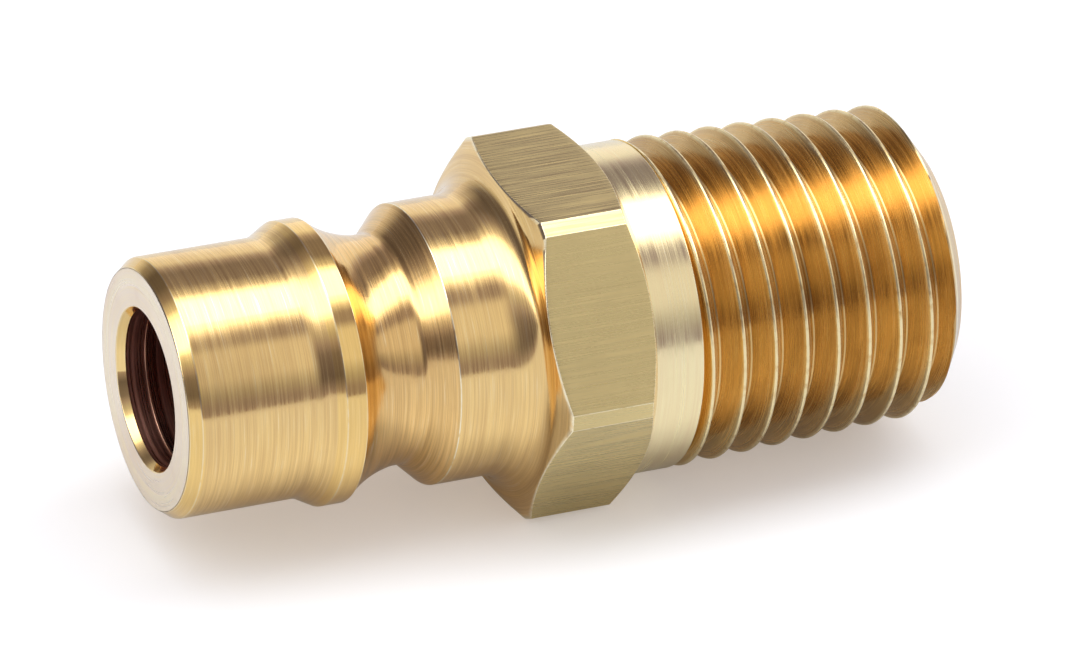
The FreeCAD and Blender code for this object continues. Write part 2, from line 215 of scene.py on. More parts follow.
class GroupLibrary:
    """Shader node groups that several finishes share, each built once."""

    FINE_SHARE: ClassVar[float] = 0.6
    SCRATCH_RANGE: ClassVar[Range] = (0.6, 0.72)
    SCRATCH_FIELD: ClassVar[Range] = (0.4, 0.6)
    BROAD_SPOTS: ClassVar[float] = 160.0
    BROAD_RANGE: ClassVar[Range] = (0.42, 0.68)
    BROAD_SHARE: ClassVar[float] = 0.7
    SMALL_SPOTS: ClassVar[float] = 900.0
    SMALL_RANGE: ClassVar[Range] = (0.6, 0.75)
    SMALL_SHARE: ClassVar[float] = 0.3
    RAGGED_SPOTS: ClassVar[float] = 2600.0
    RAGGED_RANGE: ClassVar[Range] = (0.22, 0.5)

    def __init__(self) -> None:
        """Build every group."""
        self.tool_marks = self._tool_marks()
        self.tarnish = self._tarnish()
        self.edge_wear_and_highlight = self._edge_wear_and_highlight()

    @staticmethod
    def _start(name: str, inputs: dict[str, float],
               outputs: tuple[str, ...]) -> tuple[bpy.types.NodeTree, Wiring, dict, bpy.types.Node]:
        """Make a group with its sockets.

        Args:
            name: Name of the group.
            inputs: Input names and default values.
            outputs: Output names.

        Returns:
            The tree, its wiring, the input sockets by name and the output node.
        """
        tree = bpy.data.node_groups.new(name, "ShaderNodeTree")
        for key, value in inputs.items():
            socket = tree.interface.new_socket(key, in_out="INPUT", socket_type="NodeSocketFloat")
            socket.default_value = value
        for key in outputs:
            tree.interface.new_socket(key, in_out="OUTPUT", socket_type="NodeSocketFloat")
        source = tree.nodes.new("NodeGroupInput")
        sink = tree.nodes.new("NodeGroupOutput")
        return tree, Wiring(tree), source.outputs, sink

    @staticmethod
    def _cylinder_place(wiring: Wiring) -> tuple[Socket, Socket, Socket]:
        """Place on the part as station, radius and angle about the axis, in millimetres and radians."""
        place = add_node(wiring.tree, "TexCoord").outputs["Object"]
        split = add_node(wiring.tree, "SeparateXYZ")
        wiring.feed(split.inputs[0], place)
        x, y, z = (wiring.math("MULTIPLY", split.outputs[axis], MM_PER_METRE) for axis in range(3))
        squares = wiring.math("ADD", wiring.math("MULTIPLY", y, y), wiring.math("MULTIPLY", z, z))
        radius = wiring.math("SQRT", squares)
        return x, radius, wiring.math("ARCTAN2", z, y)

    def _tool_marks(self) -> bpy.types.NodeTree:
        """Fine lines that a tool leaves round the part, some deeper than others."""
        tree, wiring, source, sink = self._start(
            "tool_marks", {"Lines per mm": 9.0, "Waver": 1.0}, ("Height", "Mask"))
        x, radius, angle = self._cylinder_place(wiring)
        path = wiring.math("ADD", x, radius)
        lines = wiring.math("MULTIPLY", path, source["Lines per mm"])
        cosine, sine = wiring.math("COSINE", angle), wiring.math("SINE", angle)

        def rings(density: float, length: float, detail: float) -> Socket:
            """Noise drawn out round the axis: density scales the lines, length their shortness."""
            return wiring.noise(wiring.vector(
                wiring.math("MULTIPLY", lines, density),
                wiring.math("MULTIPLY", wiring.math("MULTIPLY", cosine, source["Waver"]), length),
                wiring.math("MULTIPLY", wiring.math("MULTIPLY", sine, source["Waver"]), length)), 1.0, detail)

        fine = rings(density=1.0, length=1.6, detail=2.0)
        coarse = rings(density=0.28, length=0.8, detail=1.0)
        broken = rings(density=1.7, length=3.2, detail=1.0)
        height = wiring.math("ADD", wiring.math("MULTIPLY", fine, self.FINE_SHARE),
                             wiring.math("MULTIPLY", coarse, 1 - self.FINE_SHARE))
        # Deeper broken lines; turned finishes paint them in the lighter edge colour, partly real scratches
        # and partly a painted glint.
        scratch_and_glint = wiring.math("MULTIPLY", wiring.span(broken, *self.SCRATCH_RANGE),
                              wiring.span(coarse, *self.SCRATCH_FIELD))
        tree.links.new(height, sink.inputs["Height"])
        tree.links.new(scratch_and_glint, sink.inputs["Mask"])
        return tree

    def _tarnish(self) -> bpy.types.NodeTree:
        """Soft uneven darkening from handling."""
        tree, wiring, _, sink = self._start("tarnish", {}, ("Amount",))
        place = add_node(tree, "TexCoord").outputs["Object"]
        broad = wiring.noise(place, self.BROAD_SPOTS, detail=3.0)
        small = wiring.noise(place, self.SMALL_SPOTS, detail=4.0)
        amount = wiring.math("ADD", wiring.span(broad, *self.BROAD_RANGE, to_high=self.BROAD_SHARE),
                             wiring.span(small, *self.SMALL_RANGE, to_high=self.SMALL_SHARE))
        tree.links.new(amount, sink.inputs["Amount"])
        return tree

    def _edge_wear_and_highlight(self) -> bpy.types.NodeTree:
        """Lighter edges read from the mesh's own edge mask: partly worn brass, partly a painted highlight
        along the edges.
        """
        tree, wiring, source, sink = self._start("edge_wear_and_highlight", {"Share": 1.0}, ("Mask",))
        mask = add_node(tree, "Attribute", attribute_name="edge").outputs["Fac"]
        place = add_node(tree, "TexCoord").outputs["Object"]
        ragged = wiring.span(wiring.noise(place, self.RAGGED_SPOTS, detail=3.0), *self.RAGGED_RANGE)
        worn_and_highlit = wiring.math("MULTIPLY", mask, ragged)
        tree.links.new(wiring.math("MULTIPLY", worn_and_highlit, source["Share"]), sink.inputs["Mask"])
        return tree


@dataclass(frozen=True)
class MetalFinish:
    """A metal finish with its tool marks, tarnish and lighter edges, partly worn and partly a painted
    highlight.
    """

    STREAK_RANGE: ClassVar[Range] = (0.38, 0.62)
    UNEVEN_RANGE: ClassVar[Range] = (0.34, 0.66)
    UNEVEN_SHARES: ClassVar[Range] = (0.45, 1.7)
    TARNISH_ROUGHNESS: ClassVar[float] = 0.06
    BRUSH_STRETCH: ClassVar[float] = 260.0
    DEEP_SCALE: ClassVar[float] = 0.23
    DEEP_RANGE: ClassVar[Range] = (0.66, 0.74)

    name: str
    colour: Colour
    dark: Colour
    roughness: float
    lines_per_mm: float = 9.0
    line_depth: float = 0.0012
    line_strength: float = 0.35
    tarnish: float = 0.25
    spread: Spread = Spread.ROUND
    # Colour painted on the edge mask and on scratches of turned finishes: partly worn brass, partly a painted
    # highlight.
    edge: Colour = (1.0, 0.88, 0.60)
    edge_share: float = 1.0
    streak: float = 0.16
    scratch_and_glint: float = 0.5
    waver: float = 1.0

    def material(self, groups: GroupLibrary) -> bpy.types.Material:
        """Make the material.

        Args:
            groups: The shared node groups.

        Returns:
            The finished material.
        """
        material = bpy.data.materials.new(self.name)
        material.use_nodes = True
        tree = material.node_tree
        tree.nodes.clear()
        wiring = Wiring(tree)
        shader = add_node(tree, "BsdfPrincipled")
        shader.inputs["Metallic"].default_value = 1.0
        output = add_node(tree, "OutputMaterial")
        tree.links.new(shader.outputs[0], output.inputs[0])
        height, mask = self._marks(tree, wiring, groups)
        tarnish = add_node(tree, "Group", node_tree=groups.tarnish).outputs["Amount"]
        colour = self._colour(wiring, groups, height, mask, tarnish)
        wiring.feed(shader.inputs["Base Color"], colour)
        smooth, rough = (self.roughness * share for share in self.UNEVEN_SHARES)
        uneven = wiring.span(height, *self.UNEVEN_RANGE, smooth, rough)
        dulling = wiring.math("MULTIPLY", tarnish, self.TARNISH_ROUGHNESS)
        wiring.feed(shader.inputs["Roughness"], wiring.math("ADD", uneven, dulling))
        bump = add_node(tree, "Bump")
        bump.inputs["Strength"].default_value = self.line_strength
        bump.inputs["Distance"].default_value = self.line_depth * MM
        wiring.feed(bump.inputs["Height"], height)
        wiring.feed(shader.inputs["Normal"], bump.outputs[0])
        return material

    def _colour(self, wiring: Wiring, groups: GroupLibrary, height: Socket, mask: Socket,
                tarnish: Socket) -> Socket:
        """Colour of the metal with its streaks, tarnish, scratches and lighter edges; bright scratches are
        partly a painted glint, and the edges partly a painted highlight.

        Args:
            wiring: Wiring of the material's tree.
            groups: The shared node groups.
            height: Height of the fine marks.
            mask: Mask of the deeper marks.
            tarnish: Amount of tarnish.

        Returns:
            The colour socket.
        """
        low = tuple(channel * (1 - self.streak) for channel in self.colour)
        high = tuple(min(channel * (1 + self.streak), 1.0) for channel in self.colour)
        streaked = wiring.mix(wiring.span(height, *self.STREAK_RANGE), (*low, 1), (*high, 1))
        dulled = wiring.mix(wiring.math("MULTIPLY", tarnish, self.tarnish), streaked, (*self.dark, 1))
        # Scratches are dark on drawn finishes; on turned finishes they are painted in the lighter edge
        # colour, partly real scratches and partly a painted glint.
        marked = self.dark if self.spread is Spread.ALONG else self.edge
        scored = wiring.mix(wiring.math("MULTIPLY", mask, self.scratch_and_glint), dulled, (*marked, 1))
        # Edges painted in the lighter edge colour: partly wear, partly a painted highlight.
        wear_and_highlight = add_node(wiring.tree, "Group", node_tree=groups.edge_wear_and_highlight)
        wear_and_highlight.inputs["Share"].default_value = self.edge_share
        return wiring.mix(wear_and_highlight.outputs["Mask"], scored, (*self.edge, 1))

    def _marks(self, tree: bpy.types.NodeTree, wiring: Wiring,
               groups: GroupLibrary) -> tuple[Socket, Socket]:
        """Height and mask of the finish's fine marks.

        Args:
            tree: The material's tree.
            wiring: Its wiring.
            groups: The shared node groups.

        Returns:
            The height socket and the mask socket.
        """
        if self.spread is Spread.ROUND:
            marks = add_node(tree, "Group", node_tree=groups.tool_marks)
            marks.inputs["Lines per mm"].default_value = self.lines_per_mm
            marks.inputs["Waver"].default_value = self.waver
            return marks.outputs["Height"], marks.outputs["Mask"]
        split = add_node(tree, "SeparateXYZ")
        wiring.feed(split.inputs[0], add_node(tree, "TexCoord").outputs["Object"])
        along = wiring.math("MULTIPLY", split.outputs[0], self.BRUSH_STRETCH)
        density = MM_PER_METRE * self.lines_per_mm
        across = (wiring.math("MULTIPLY", split.outputs[axis], density) for axis in (1, 2))
        place = wiring.vector(along, *across)
        fine = wiring.noise(place, scale=1.0, detail=4.0)
        deep = wiring.noise(place, self.DEEP_SCALE, detail=1.0)
        return fine, wiring.span(deep, *self.DEEP_RANGE)


@dataclass(frozen=True)
class SoftFinish:
    """Rubber or plastic with a fine moulded grain."""

    SHADE: ClassVar[float] = 0.75
    GRAIN_RANGE: ClassVar[Range] = (0.2, 0.8)
    UNEVEN_SHARES: ClassVar[Range] = (0.9, 1.1)
    BUMP_STRENGTH: ClassVar[float] = 0.2
    BUMP_DEPTH: ClassVar[float] = 0.02

    name: str
    colour: Colour
    roughness: float
    grain: float = 3000.0

    def material(self, _groups: GroupLibrary) -> bpy.types.Material:
        """Make the material."""
        material = bpy.data.materials.new(self.name)
        material.use_nodes = True
        tree = material.node_tree
        wiring = Wiring(tree)
        shader = tree.nodes["Principled BSDF"]
        place = add_node(tree, "TexCoord").outputs["Object"]
        speck = wiring.noise(place, self.grain)
        shade = tuple(channel * self.SHADE for channel in self.colour)
        wiring.feed(shader.inputs["Base Color"], wiring.mix(speck, (*self.colour, 1), (*shade, 1)))
        smooth, rough = (self.roughness * share for share in self.UNEVEN_SHARES)
        wiring.feed(shader.inputs["Roughness"], wiring.span(speck, *self.GRAIN_RANGE, smooth, rough))
        bump = add_node(tree, "Bump")
        bump.inputs["Strength"].default_value = self.BUMP_STRENGTH
        bump.inputs["Distance"].default_value = self.BUMP_DEPTH * MM
        wiring.feed(bump.inputs["Height"], speck)
        wiring.feed(shader.inputs["Normal"], bump.outputs[0])
        return material


def dress(piece: bpy.types.Object, material: bpy.types.Material) -> None:
    """Give a CAD node's object one material."""
    piece.data.materials.clear()
    piece.data.materials.append(material)


@dataclass
class TurnedBody:
    """The one-piece brass body as a fine mesh: columns about the axis, each with its own outline.

    Lengths are in millimetres. An Outline holds pairs of a station and a radius, or of a station
    and a depth below the radius at that place.
    """

    ROOM_SHARE: ClassVar[float] = 0.45
    RAISED_TURN: ClassVar[float] = -0.25
    WELD_DIGITS: ClassVar[int] = 5
    SHARP_ANGLE: ClassVar[float] = 24.0
    BEVEL_SHARES: ClassVar[tuple[float, float, float]] = (0.4, 0.9, 0.15)
    BEVEL_CLEAR: ClassVar[float] = 1.2
    SPARE_LAPS: ClassVar[int] = 4
    # Where the thread's crest mark starts and over what share it fades in, as shares of the thread depth; the
    # crests are painted lighter, partly as burnished brass and partly as a painted highlight.
    BURNISHED_HIGHLIGHT_FROM: ClassVar[float] = 0.92
    BURNISHED_HIGHLIGHT_OVER: ClassVar[float] = 0.04

    nose_radius: float = 5.35
    nose_start: float = 0.05
    nose_length: float = 5.05
    nose_fillet: float = 0.3
    face: float = -0.5
    face_radius: float = 4.97
    face_line: Outline = ((0.0, 4.2), (0.012, 4.23), (0.012, 4.29), (0.0, 4.32))
    edge_break: float = 0.03
    lip: float = 0.02
    bore_radius: float = 3.23
    bore_depth: float = 6.2
    bore_ridge: Outline = ((0.74, 0.0), (0.71, 0.015), (0.68, 0.0))
    lead_in: float = 0.17
    lead_in_depth: float = 0.35
    seam: float = 0.001
    throat_radius: float = 2.9
    seat: float = 10.9
    chamber_radius: float = 4.35
    collar: Outline = ((5.6, 5.662), (5.95, 5.86), (6.8, 5.86), (6.92, 5.74))
    groove_floor: Outline = ((9.2, 4.75), (9.78, 4.75))
    groove_end: tuple[float, float] = (10.8, 5.76)
    groove_flank: float = 4.6
    groove_fillet: float = 0.12
    groove_steps: int = 14
    shoulder_start: float = 10.85
    shoulder_radius: float = 5.81
    shoulder_line: Outline = ((11.92, 0.0), (11.95, 0.005), (11.98, 0.0))
    shoulder_end: float = 13.03
    flare_radius: float = 1.42
    flare_steps: int = 24
    hex_apothem: float = 7.0
    hex_corner: float = 7.89
    hex_face_radius: float = 6.94
    hex_front: float = 14.42
    hex_back: float = 18.94
    front_chamfer: float = 0.44
    rear_chamfer: float = 0.57
    shank_radius: float = 6.82
    shank_start: float = 0.01
    shank_drop: tuple[float, float] = (0.05, 0.06)
    thread_start: float = 21.07
    thread_end: float = 33.3
    thread_radius: float = 6.855
    taper: float = 1 / 16
    pitch: float = 1.4111
    crest_flat: float = 0.1
    root_flat: float = 0.1
    end_radius: float = 5.15
    end_chamfer: float = 0.95
    end_fillet: float = 0.04
    port_chamfer: float = 0.25
    phase_at_top: float = 0.5445
    ring_groove: tuple[float, float, float] = (24.0, 24.85, 4.68)
    burr: float = 0.03
    fine_fillet: float = 0.015
    fillet: float = 0.02
    bore_fillet: float = 0.03
    chamfer_rows: int = 7
    flat_rows: int = 16
    flat_columns: int = 26
    land_columns: int = 5
    steps_per_pitch: int = 22

    def angles(self) -> np.ndarray:
        """Angles of the columns, closer together on the narrow lands between two flats."""
        half = math.acos(self.hex_apothem / self.hex_corner)
        guard = self.burr / self.hex_corner
        parts = []
        for side in range(6):
            middle = math.radians(60 * side + 30)
            corner = middle + SIDE_ANGLE - half
            for first, last, count in ((middle - half, middle + half, self.flat_columns),
                                       (middle + half, corner, self.land_columns)):
                parts.append([first])
                parts.append(np.linspace(first + guard, last - guard, count))
        turned = np.concatenate(parts)
        return np.append(turned, turned[0] + 2 * math.pi)

    @classmethod
    def soften(cls, corners: list[tuple[float, float]], radius: float, steps: int = 4,
               guard: float = 0.05) -> np.ndarray:
        """Round every inner corner of an open outline and mark its raised corners, which get the lighter edge
        colour: partly wear, partly a painted highlight.

        Args:
            corners: Outline as (station, radius) pairs, from nose to thread on the outside.
            radius: Radius of the rounding.
            steps: Points on each rounded corner.
            guard: Distance beyond a corner at which its mark ends.

        Returns:
            Station, radius and edge mark of each point.
        """
        points = np.array(corners, float)
        out = [(*points[0], 0.0)]
        for before, here, after in zip(points, points[1:], points[2:]):
            back, ahead = before - here, after - here
            room = cls.ROOM_SHARE * min(np.linalg.norm(back), np.linalg.norm(ahead))
            reach = min(radius, room)
            back, ahead = back / np.linalg.norm(back), ahead / np.linalg.norm(ahead)
            # Raised corners get the edge mark, painted lighter: partly wear, partly a painted highlight.
            raised = float(back[1] * ahead[0] - back[0] * ahead[1] < cls.RAISED_TURN)
            wide = min(reach + guard, room)
            out.append((*(here + back * wide), 0.0))
            start, end = here + back * reach, here + ahead * reach
            for share in np.linspace(0, 1, steps):
                place = (1 - share) ** 2 * start + 2 * share * (1 - share) * here + share ** 2 * end
                out.append((*place, raised))
            out.append((*(here + ahead * wide), 0.0))
        out.append((*points[-1], 0.0))
        return np.array(out)

    @staticmethod
    def arc(start: tuple[float, float], end: tuple[float, float], radius: float,
            steps: int) -> list[tuple[float, float]]:
        """Points of a hollow arc between two outline points, without the first.

        Args:
            start: Station and radius at which the arc starts.
            end: Station and radius at which it ends.
            radius: Radius of the arc.
            steps: Number of points.

        Returns:
            The points.
        """
        first, last = np.array(start), np.array(end)
        chord = last - first
        half = np.linalg.norm(chord) / 2
        normal = np.array([-chord[1], chord[0]]) / (2 * half)
        centre = (first + last) / 2 + normal * math.sqrt(radius ** 2 - half ** 2)
        low = math.atan2(*(first - centre)[::-1])
        sweep = 2 * math.asin(half / radius)
        bearings = [low + sweep * step / steps for step in range(1, steps + 1)]
        return [tuple(centre + radius * np.array([math.cos(bearing), math.sin(bearing)]))
                for bearing in bearings]

    def front_outline(self) -> list[tuple[Zone, np.ndarray]]:
        """Outlines of the stretches ahead of the hexagon, each with its zone."""
        front, lip, rim = self.face, self.lip, self.face_radius
        mouth = self.bore_radius + self.lead_in
        lead_in = self.soften([(front + self.lead_in_depth, self.bore_radius), (front + lip, mouth - lip / 2),
                               (front, mouth + lip)], self.fine_fillet)
        line = [(front + depth, radius) for depth, radius in self.face_line]
        face = self.soften([(front, mouth + lip), *line, (front, rim)], self.fillet)
        nose_start = (self.nose_start, self.nose_radius)
        edge = self.soften([(front, rim - lip), (front + self.edge_break, rim + lip),
                            (-self.edge_break, self.nose_radius - lip), nose_start], self.fillet, guard=lip)
        nose = self.soften([nose_start, (self.nose_length, self.nose_radius), self.collar[0]],
                           self.nose_fillet, steps=8)
        collar = self.soften(list(self.collar), self.fillet, guard=lip)
        flank = self.arc(self.collar[-1], self.groove_floor[0], self.groove_flank, self.groove_steps)
        groove = self.soften([self.collar[-1], *flank, self.groove_floor[1], self.groove_end],
                             self.groove_fillet)
        line = [(station, self.shoulder_radius - depth) for station, depth in self.shoulder_line]
        flare_start = (self.shoulder_end, self.shoulder_radius)
        shoulder = self.soften([self.groove_end, (self.shoulder_start, self.shoulder_radius), *line,
                                flare_start], self.fillet, guard=lip)
        hexagon_start = (self.hex_front, self.hex_face_radius)
        curve = self.arc(flare_start, hexagon_start, self.flare_radius, self.flare_steps)
        flare = np.array([(*place, 0.0) for place in [flare_start, *curve]])
        return [(Zone.LEAD_IN, lead_in), (Zone.FACE, face), (Zone.POLISHED, edge), (Zone.TURNED, nose),
                (Zone.POLISHED, collar), (Zone.GROOVE, groove), (Zone.TURNED, shoulder), (Zone.TURNED, flare)]

    def hexagon(self, angles: np.ndarray) -> np.ndarray:
        """Columns over the hexagon, with rows that follow the edges of its chamfers.

        Args:
            angles: Angles of the columns.

        Returns:
            Station and radius for each column and row.
        """
        bearing = angles % SIDE_ANGLE - SIDE_ANGLE / 2
        reach = np.minimum(self.hex_apothem / np.cos(bearing), self.hex_corner)
        front = (self.hex_corner - self.hex_face_radius) / self.front_chamfer
        rear = (self.hex_corner - self.hex_face_radius) / self.rear_chamfer
        first = self.hex_front + (reach - self.hex_face_radius) / front
        last = self.hex_back - (reach - self.hex_face_radius) / rear
        bevel = self.burr
        edge_bearing = math.acos(self.hex_apothem / self.hex_corner)
        # The lands between flats and the rows at the chamfer edges get the edge mark, painted lighter: partly
        # wear, partly a painted highlight.
        land = (np.abs(np.abs(bearing) - edge_bearing) < self.burr / self.hex_corner / 2).astype(float)
        none, full = np.zeros(len(angles)), np.ones(len(angles))
        beside, below, crown = (bevel * share for share in self.BEVEL_SHARES)
        clear = bevel * self.BEVEL_CLEAR
        rows = []
        for share in np.linspace(0, 1, self.chamfer_rows)[:-1]:
            rows.append((self.hex_front + (first - bevel - self.hex_front) * share,
                         self.hex_face_radius + (reach - bevel * front - self.hex_face_radius) * share, none))
        rows.append((first - beside, reach - below, full))
        rows.append((first + beside, reach - crown, full))
        for share in np.linspace(0, 1, self.flat_rows):
            rows.append((first + clear + (last - first - 2 * clear) * share, reach, land))
        rows.append((last - beside, reach - crown, full))
        rows.append((last + beside, reach - below, full))
        for share in np.linspace(0, 1, self.chamfer_rows)[1:]:
            rows.append((last + bevel + (self.hex_back - last - bevel) * share,
                         reach - bevel * rear + (self.hex_face_radius - reach + bevel * rear) * share, none))
        return np.stack([np.stack(row, 1) for row in rows], 1)

    def thread(self, angles: np.ndarray) -> np.ndarray:
        """Columns over the thread, whose rows run along the helix.

        Args:
            angles: Angles of the columns.

        Returns:
            Station and radius for each column and row.
        """
        slope = 1 / math.tan(THREAD_HALF_ANGLE)
        depth = (self.pitch - self.crest_flat - self.root_flat) / 2 * slope
        turns = (angles - math.pi / 2) / (2 * math.pi)
        laps = math.ceil((self.thread_end - self.thread_start) / self.pitch) + self.SPARE_LAPS
        rows = np.arange(laps * self.steps_per_pitch) / self.steps_per_pitch - (self.SPARE_LAPS - 1)
        station = self.thread_start + self.pitch * (rows[None, :] + self.phase_at_top + turns[:, None])
        station = np.clip(station, self.thread_start, self.thread_end)
        phase = (station - self.thread_start) / self.pitch - self.phase_at_top - turns[:, None]
        offset = np.abs((phase + 0.5) % 1 - 0.5) * self.pitch
        rise = np.clip((offset - self.root_flat / 2) * slope, 0, depth)
        # Crest mark for the edge mask: the crests are painted lighter, partly as burnished brass and partly
        # as a painted highlight on the crest flats.
        burnished_and_highlit = (rise - depth * self.BURNISHED_HIGHLIGHT_FROM) / (depth * self.BURNISHED_HIGHLIGHT_OVER)
        crest = self.thread_radius - (station - self.thread_start) * self.taper / 2
        chamfer_start = self.thread_end - self.end_chamfer
        crest_there = self.thread_radius - (chamfer_start - self.thread_start) * self.taper / 2
        widening = (crest_there - self.end_radius) / self.end_chamfer
        cone = self.end_radius + (self.thread_end - station) * widening
        radius = np.minimum(crest - depth + rise, cone)
        return np.stack([station, radius, np.clip(burnished_and_highlit, 0, 1)], 2)

    def rear_outline(self) -> list[tuple[Zone, np.ndarray]]:
        """Outlines of the end face and the bore, from the thread's end back to the nose."""
        groove_front, groove_back, groove_radius = self.ring_groove
        chamber = self.chamber_radius
        port = (self.thread_end - self.port_chamfer, chamber)
        end = self.soften([(self.thread_end, self.end_radius),
                           (self.thread_end, chamber + self.port_chamfer), port], self.end_fillet)
        mouth = self.face + self.lead_in_depth
        ridge = [(station, self.bore_radius - depth) for station, depth in self.bore_ridge]
        bore = self.soften([
            port, (groove_back, chamber), (groove_back, groove_radius),
            (groove_front, groove_radius), (groove_front, chamber),
            (self.seat + chamber - self.throat_radius, chamber), (self.seat, self.throat_radius),
            (self.bore_depth, self.throat_radius), (self.bore_depth, self.bore_radius), *ridge,
            (mouth + self.seam, self.bore_radius), (mouth, self.bore_radius)], self.bore_fillet)
        return [(Zone.END, end), (Zone.BORE, bore)]

    def shank_outline(self) -> np.ndarray:
        """Outline of the shank, from the hexagon to the thread."""
        before, drop = self.shank_drop
        return self.soften([(self.hex_back, self.hex_face_radius),
                            (self.hex_back + self.shank_start, self.shank_radius),
                            (self.thread_start - before, self.shank_radius),
                            (self.thread_start, self.shank_radius - drop)], self.bore_fillet)

    def mesh(self) -> bpy.types.Mesh:
        """Weld all stretches into one closed mesh.

        Returns:
            The mesh, with a material index for each zone and an edge mask that the finishes paint lighter,
            partly as wear and partly as a painted highlight.
        """
        angles = self.angles()
        count = len(angles)
        stretches = [(zone, np.repeat(points[None], count, 0)) for zone, points in self.front_outline()]
        hexagon = self.hexagon(angles)
        chamfer = self.chamfer_rows
        stretches += [(Zone.TURNED, hexagon[:, :chamfer]), (Zone.HEXAGON, hexagon[:, chamfer:-chamfer]),
                      (Zone.TURNED, hexagon[:, -chamfer:])]
        stretches.append((Zone.SHANK, np.repeat(self.shank_outline()[None], count, 0)))
        stretches.append((Zone.THREAD, self.thread(angles)))
        stretches += [(zone, np.repeat(points[None], count, 0)) for zone, points in self.rear_outline()]
        grid = np.concatenate([points for _, points in stretches], 1)
        zone_of_row = np.concatenate([[zone.value] * points.shape[1] for zone, points in stretches])
        rows = grid.shape[1]
        places = np.stack([grid[..., 0], grid[..., 1] * np.cos(angles)[:, None],
                           grid[..., 1] * np.sin(angles)[:, None]], 2).reshape(-1, 3)
        _, first, same = np.unique(np.round(places, self.WELD_DIGITS), axis=0,
                                   return_index=True, return_inverse=True)
        same = same.reshape(-1)
        column, row = np.meshgrid(np.arange(count - 1), np.arange(rows), indexing="ij")
        following = (row + 1) % rows
        quads = same[np.stack([column * rows + row, (column + 1) * rows + row,
                               (column + 1) * rows + following, column * rows + following], 2).reshape(-1, 4)]
        zones = zone_of_row[row.reshape(-1)]
        faces, kept = [], []
        for quad, zone in zip(quads.tolist(), zones.tolist()):
            corners = [corner for index, corner in enumerate(quad) if corner != quad[index - 1]]
            if len(set(corners)) == len(corners) and len(corners) > 2:
                faces.append(corners)
                kept.append(zone)
        mesh = bpy.data.meshes.new("plug_shell")
        mesh.from_pydata((places[first] * MM).tolist(), [], faces)
        mesh.polygons.foreach_set("material_index", kept)
        mesh.shade_smooth()
        mesh.set_sharp_from_angle(angle=math.radians(self.SHARP_ANGLE))
        mesh.update()
        marks = grid[..., 2].reshape(-1)[first]
        mesh.attributes.new("edge", "FLOAT", "POINT").data.foreach_set("value", marks)
        return mesh

    def build(self, finishes: dict[Zone, bpy.types.Material]) -> bpy.types.Object:
        """Make the piece and let it stand for the CAD body.

        Args:
            finishes: A material for each zone.

        Returns:
            The piece.
        """
        piece = bpy.data.objects.new("plug_shell", self.mesh())
        bpy.context.scene.collection.objects.link(piece)
        for zone in Zone:
            piece.data.materials.append(finishes[zone])
        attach(piece, "body")
        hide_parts("plug_body")
        return piece


@dataclass
class ValveSpring:
    """Closing spring with closed, ground ends."""

    TIGHT_SHARE: ClassVar[float] = 0.92
    GROUND_SHARE: ClassVar[float] = 0.35
    SHARP_ANGLE: ClassVar[float] = 40.0

    wire_radius: float = 0.3
    mean_radius: float = 2.75
    open_turns: float = 5.0
    closed_turns: float = 1.0
    lift: float = 2.3
    ring: int = 16
    steps_per_turn: int = 48

    def centres(self, front: float, back: float) -> np.ndarray:
        """Centre line of the wire, with a flat turn at each end.

        Args:
            front: Station of the front end.
            back: Station of the rear end.

        Returns:
            One row for each point.
        """
        turns = self.open_turns + 2 * self.closed_turns
        turn = np.linspace(0, turns, int(turns * self.steps_per_turn) + 1)
        tight = 2 * self.wire_radius * self.TIGHT_SHARE
        length = back - front - 2 * self.wire_radius
        pitch = (length - 2 * tight * self.closed_turns) / self.open_turns
        is_open = (turn > self.closed_turns) & (turn <= turns - self.closed_turns)
        run = np.cumsum(np.where(is_open, pitch, tight)[1:])
        run = np.insert(run, 0, 0) / self.steps_per_turn
        width = self.steps_per_turn // 3
        window = np.ones(2 * width + 1) / (2 * width + 1)
        run = np.convolve(np.pad(run, width, "reflect", reflect_type="odd"), window, "valid")
        run = (run - run[0]) / (run[-1] - run[0]) * length + front + self.wire_radius
        angle = turn * 2 * math.pi
        return np.stack([run, self.mean_radius * np.cos(angle), self.mean_radius * np.sin(angle)], 1)

    def build(self, material: bpy.types.Material) -> bpy.types.Object:
        """Make the piece between the ends of the CAD spring.

        Args:
            material: Finish of the wire.

        Returns:
            The piece.
        """
        low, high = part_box("valve_spring")
        front, back = low[0] / MM, high[0] / MM
        centres = self.centres(front, back)
        along = np.gradient(centres, axis=0)
        along /= np.linalg.norm(along, axis=1)[:, None]
        out = centres * (0, 1, 1) / self.mean_radius
        side = np.cross(along, out)
        angle = np.linspace(0, 2 * math.pi, self.ring, endpoint=False)
        wire = centres[:, None] + self.wire_radius * (
            out[:, None] * np.cos(angle)[None, :, None] + side[:, None] * np.sin(angle)[None, :, None])
        ground = self.wire_radius * self.GROUND_SHARE
        wire[..., 0] = np.clip(wire[..., 0], front + ground, back - ground)
        wire[..., 0] = front + (wire[..., 0] - wire[..., 0].min()) * (back - front) / np.ptp(wire[..., 0])
        count, ring = wire.shape[:2]
        faces = [(i * ring + j, i * ring + (j + 1) % ring,
                  (i + 1) * ring + (j + 1) % ring, (i + 1) * ring + j)
                 for i in range(count - 1) for j in range(ring)]
        faces += [tuple(range(ring))[::-1], tuple((count - 1) * ring + j for j in range(ring))]
        mesh = bpy.data.meshes.new("closing_spring")
        mesh.from_pydata((wire.reshape(-1, 3) * MM).tolist(), [], faces)
        mesh.shade_smooth()
        mesh.set_sharp_from_angle(angle=math.radians(self.SHARP_ANGLE))
        mesh.materials.append(material)
        piece = bpy.data.objects.new("closing_spring", mesh)
        bpy.context.scene.collection.objects.link(piece)
        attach(piece, "body")
        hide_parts("valve_spring")
        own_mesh(piece)
        return piece


